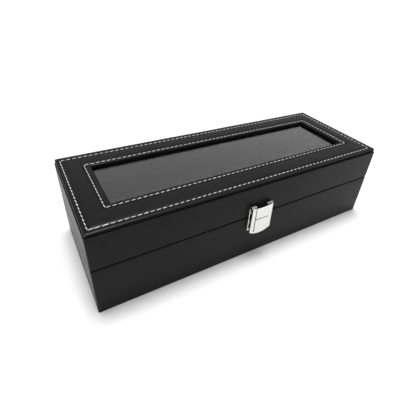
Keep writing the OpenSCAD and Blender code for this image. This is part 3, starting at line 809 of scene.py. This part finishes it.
# ------------------------------------------------------------------ stitches
def stitch_mesh(name, stitches, mat, seed):
    """Each stitch is a short two-ply thread that dips into its holes at both ends."""
    g = np.random.default_rng(seed)
    nt, ns = 13, 12
    t = np.linspace(0, 1, nt)
    th = np.linspace(0, 2 * math.pi, ns, endpoint=False)
    verts, faces = [], []
    for (ax, ay), (bx, by), w in stitches:
        a, b = np.array([ax, ay]), np.array([bx, by])
        ln = np.linalg.norm(b - a)
        u = (b - a) / ln
        side = np.array([-u[1], u[0]])
        slant = 0.18 + g.normal() * 0.04
        r0 = 0.35 * w * (1 + g.normal() * 0.05)
        base = float(top_z(np.array([(ax + bx) / 2]), np.array([(ay + by) / 2]), False)[0])
        over = 0.3
        s = -over + (ln + 2 * over) * t
        along = a + u * s[:, None] + side * (slant * 2 * (t - 0.5))[:, None]
        e = 2 * t - 1
        z = base + 0.12 + 0.10 * (1 - e ** 2) - 0.9 * np.abs(e) ** 7 + g.normal() * 0.012
        rad = r0 * (1 - 0.4 * np.abs(e) ** 6)
        phase = g.uniform(0, 2 * math.pi)
        n0 = len(verts)
        for i in range(nt):
            lobes = 1 + 0.11 * np.cos(2 * (th - 2 * math.pi * 1.25 * t[i]) + phase)
            c, sn = np.cos(th) * rad[i] * lobes, np.sin(th) * rad[i] * lobes * 0.9
            for q in range(ns):
                xy = along[i] + side * c[q]
                verts.append((xy[0], xy[1], z[i] + sn[q]))
        for i in range(nt - 1):
            for q in range(ns):
                q2 = (q + 1) % ns
                faces.append((n0 + i * ns + q, n0 + i * ns + q2, n0 + (i + 1) * ns + q2, n0 + (i + 1) * ns + q))
        faces.append(tuple(n0 + q for q in reversed(range(ns))))
        faces.append(tuple(n0 + (nt - 1) * ns + q for q in range(ns)))
    return make(name, verts, faces, mat, 60.0)


place(stitch_mesh("stitches_outer", OUTER, M_THREAD, 1), "lid", "thread", "stitching_outer")
place(stitch_mesh("stitches_inner", INNER, M_THREAD, 2), "lid", "thread", "stitching_inner")


# ------------------------------------------------------------------ cushions
def section(w, h, r, n=16):
    """Points of a rounded rectangle, y across and z up, centred on the origin."""
    pts = []
    for cx, cy, a0 in ((w / 2 - r, h / 2 - r, 0), (-w / 2 + r, h / 2 - r, 90),
                       (-w / 2 + r, -h / 2 + r, 180), (w / 2 - r, -h / 2 + r, 270)):
        for i in range(n + 1):
            a = math.radians(a0 + 90 * i / n)
            pts.append((cx + r * math.cos(a), cy + r * math.sin(a)))
    return pts


def cushion(index):
    node = f"pillow_{index}"
    lo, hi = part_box(node)
    c = (lo + hi) / 2
    w, d, h = ((hi[i] - lo[i]) * 1000 for i in range(3))
    half = w / 2 - 1.3
    seam_d, seam_h = d - 6.0, h - 5.0
    g = np.random.default_rng(100 + index)
    pts = section(seam_d, seam_h, 13.5)
    bm = bmesh.new()
    ends = []
    for x in (-half, half):
        ends.append([bm.verts.new((x * MM, p[0] * MM, p[1] * MM)) for p in pts])
    n = len(pts)
    for i in range(n):
        bm.faces.new((ends[0][i], ends[0][(i + 1) % n], ends[1][(i + 1) % n], ends[1][i]))
    bm.faces.new(list(reversed(ends[0])))
    bm.faces.new(ends[1])
    bmesh.ops.remove_doubles(bm, verts=bm.verts, dist=1e-6)
    bmesh.ops.recalc_face_normals(bm, faces=bm.faces)
    me = bpy.data.meshes.new(f"cushion_{index}")
    bm.to_mesh(me)
    bm.free()
    ob = bpy.data.objects.new(f"cushion_{index}", me)
    scene.collection.objects.link(ob)
    md = ob.modifiers.new("remesh", "REMESH")
    md.mode, md.voxel_size = "VOXEL", 0.0026
    dg = bpy.context.evaluated_depsgraph_get()
    done = bpy.data.meshes.new_from_object(ob.evaluated_get(dg))
    ob.modifiers.clear()
    ob.data = done
    bpy.data.meshes.remove(me)
    me = ob.data
    rest = np.array([v.co for v in me.vertices]) * 1000

    # distance of each point from the seams, in the section's own plane
    poly = np.array(pts + [pts[0]])

    def outline_distance(p):
        a, b = poly[:-1], poly[1:]
        ab = b - a
        best = np.full(len(p), 1e9)
        for i in range(len(a)):
            l2 = max(ab[i] @ ab[i], 1e-9)
            tt = np.clip(((p - a[i]) @ ab[i]) / l2, 0, 1)
            best = np.minimum(best, np.linalg.norm(p - a[i] - tt[:, None] * ab[i], axis=1))
        return best

    # the cloth starts from the rest shape
    start = rest.copy()
    start[:, 0] += g.normal() * 0.0
    for v, p in zip(me.vertices, start):
        v.co = p * MM
    pinned = ob.vertex_groups.new(name="seam")
    od = outline_distance(rest[:, 1:3])
    seam = (np.abs(np.abs(rest[:, 0]) - half) < 1.6) & (od < 1.6)
    pinned.add([int(i) for i in np.nonzero(seam)[0]], 1.0, "REPLACE")
    cl = ob.modifiers.new("cloth", "CLOTH")
    st = cl.settings
    st.quality = 6
    st.mass = 0.15
    st.tension_stiffness = st.compression_stiffness = 6.0 + g.uniform(-0.5, 0.5)
    st.shear_stiffness = 3.0
    st.bending_stiffness = 0.08
    st.air_damping = 2.0
    st.use_pressure = True
    st.uniform_pressure_force = 4.0
    st.effector_weights.gravity = 0.0
    st.vertex_group_mass = "seam"
    cl.collision_settings.use_collision = False
    for f in range(1, 21):
        scene.frame_set(f)
    dg = bpy.context.evaluated_depsgraph_get()
    ev = ob.evaluated_get(dg).to_mesh()
    out = np.array([v.co for v in ev.vertices]) * 1000
    ob.evaluated_get(dg).to_mesh_clear()
    ob.modifiers.clear()
    scene.frame_set(1)
    move = out - start
    ln = np.linalg.norm(move, axis=1)
    cap = np.where(np.abs(start[:, 0]) > half - 0.5, 1.7, 2.4)
    scale = np.where(ln > cap, cap / np.maximum(ln, 1e-9), 1.0)
    final = start + move * scale[:, None]
    # flat where it stands on the lining, gathered a little along the seams
    dist = np.hypot(np.abs(np.abs(rest[:, 0]) - half), od * 0.6)
    ang = np.arctan2(rest[:, 2], rest[:, 1])
    gather = 0.22 * np.sin(ang * 34 + 5 * np.sin(ang * 3 + index)) * np.exp(-(dist / 5.0) ** 2)
    radial = final.copy()
    radial[:, 0] = 0
    radial /= np.maximum(np.linalg.norm(radial, axis=1), 1e-6)[:, None]
    final = final + radial * gather[:, None]
    field = waves(300 + index, 26.0)
    lump = field(rest[:, 0], rest[:, 1], rest[:, 2]) * 0.28
    final = final + radial * lump[:, None]
    floor = -h / 2
    shift = floor - final[:, 2].min()
    final[:, 2] += shift
    low = final[:, 2] < floor + 0.55
    final[low, 2] = floor + (final[low, 2] - floor) * 0.35
    for v, p in zip(me.vertices, final):
        v.co = p * MM
    me.transform(Matrix.Translation(c))
    sub = ob.modifiers.new("sub", "SUBSURF")
    sub.levels = sub.render_levels = 1
    dg = bpy.context.evaluated_depsgraph_get()
    done = bpy.data.meshes.new_from_object(ob.evaluated_get(dg))
    ob.modifiers.clear()
    ob.data = done
    bpy.data.meshes.remove(me)
    ob.name = f"cushion_{index}"
    tidy(ob.data, 70.0)
    ob.data.materials.clear()
    ob.data.materials.append(M_CUSHION)
    place(ob, node, "cushion_velvet", node)
    return ob


for i in range(1, 7):
    cushion(i)


# ------------------------------------------------------------------ carried-over CAD nodes
slot_of = {s["node"]: s.get("material_slot") for s in frame["record"]["subparts"]}
BEVEL = {"board": 0.35, "black_board": 0.35, "velvet_lining": 0.55, "felt": 0.15, "black_card": 0.2, "grey_board": 0.2,
         "glass": 0.2, "chrome": 0.16, "nickel_steel": 0.10, "foam": 0.2}


def dress(name):
    """Material, merged facets and softened edges for a CAD node that stays in view."""
    ob = nodes[name]
    sl = slot_of[name]
    ob.data.materials.clear()
    # the hinge and keeper plates take the darker chrome, painted shade for where they sit behind the flap
    ob.data.materials.append(M_PLATE_SHADED if name in ("clasp_hinge_plate", "clasp_keeper_plate") else BY_SLOT[sl])
    if ob.hide_render:
        return
    width = BEVEL[sl]
    if name.startswith("divider"):
        width = 0.85
    if name in ("clasp_hinge_tacks", "clasp_keeper_tacks"):
        width = 0.0
    weld = ob.modifiers.new("weld", "WELD")
    weld.merge_threshold = 1e-6
    if width:
        flat = ob.modifiers.new("flat", "DECIMATE")
        flat.decimate_type = "DISSOLVE"
        flat.angle_limit = math.radians(0.4)
        bev = ob.modifiers.new("bevel", "BEVEL")
        bev.width = width * MM
        bev.segments = 3
        bev.limit_method = "ANGLE"
        bev.angle_limit = math.radians(34)
        bev.use_clamp_overlap = True
        bev.harden_normals = False
    wn = ob.modifiers.new("normals", "WEIGHTED_NORMAL")
    wn.keep_sharp = True
    wn.weight = 60
    for p in ob.data.polygons:
        p.use_smooth = True


for name in nodes:
    dress(name)


# ------------------------------------------------------------------ floor and light
def floor():
    """A pale sheet, very slightly uneven."""
    m = Mat("floor_paper")
    grain = m.noise(320.0, 3.0, 0.6)
    m.link(m.mix(grain, (0.92, 0.92, 0.92), (0.95, 0.95, 0.95)), m.bsdf.inputs["Base Color"])
    m.link(m.bump(grain, 0.05, 0.0001), m.bsdf.inputs["Normal"])
    m.set(Roughness=0.9, Specular_IOR_Level=0.1)
    me = bpy.data.meshes.new("floor")
    s = 60.0
    me.from_pydata([(-s, -s, -5e-5), (s, -s, -5e-5), (s, s, -5e-5), (-s, s, -5e-5)], [], [(0, 1, 2, 3)])
    me.materials.append(m.m)
    ob = bpy.data.objects.new("floor", me)
    scene.collection.objects.link(ob)


def area_light(name, loc, target, size, energy, colour=(1, 1, 1)):
    d = bpy.data.lights.new(name, "AREA")
    d.shape, d.size, d.size_y = "RECTANGLE", size[0], size[1]
    d.energy, d.color = energy, colour
    ob = bpy.data.objects.new(name, d)
    scene.collection.objects.link(ob)
    ob.location = loc
    ob.rotation_euler = (Vector(target) - Vector(loc)).to_track_quat("-Z", "Y").to_euler()
    return ob


floor()
world = bpy.data.worlds.new("studio")
world.use_nodes = True
wt = world.node_tree
wt.nodes["Background"].inputs["Color"].default_value = (1, 1, 1, 1)
# white down at the horizon, where the floor ends, and softer above
way = wt.nodes.new("ShaderNodeTexCoord")
up = wt.nodes.new("ShaderNodeSeparateXYZ")
fade = wt.nodes.new("ShaderNodeMapRange")
fade.interpolation_type = "SMOOTHSTEP"
for k, v in {"From Min": 0.0, "From Max": 0.30, "To Min": 1.0, "To Max": 0.5}.items():
    fade.inputs[k].default_value = v
wt.links.new(way.outputs["Generated"], up.inputs["Vector"])
wt.links.new(up.outputs["Z"], fade.inputs["Value"])
wt.links.new(fade.outputs["Result"], wt.nodes["Background"].inputs["Strength"])
scene.world = world
sky = bpy.data.lights.new("overhead", "SUN")
sky.energy, sky.angle = 2.2, math.radians(17)
sky_ob = bpy.data.objects.new("overhead", sky)
scene.collection.objects.link(sky_ob)
sky_ob.rotation_euler = Vector((-0.03, -0.095, -1.0)).to_track_quat("-Z", "Y").to_euler()
area_light("front softbox", (0.09, -0.81, 0.92), (-0.1, -0.056, 0.08), (0.5, 0.45), 1.0)
area_light("back softbox", (0.80, 1.13, 0.82), (0.0, 0.0, 0.08), (2.1, 1.1), 1.6)
scene.view_settings.view_transform = "Standard"
scene.view_settings.look = "None"
scene.view_settings.exposure = 0.0
scene.view_settings.gamma = 1.0
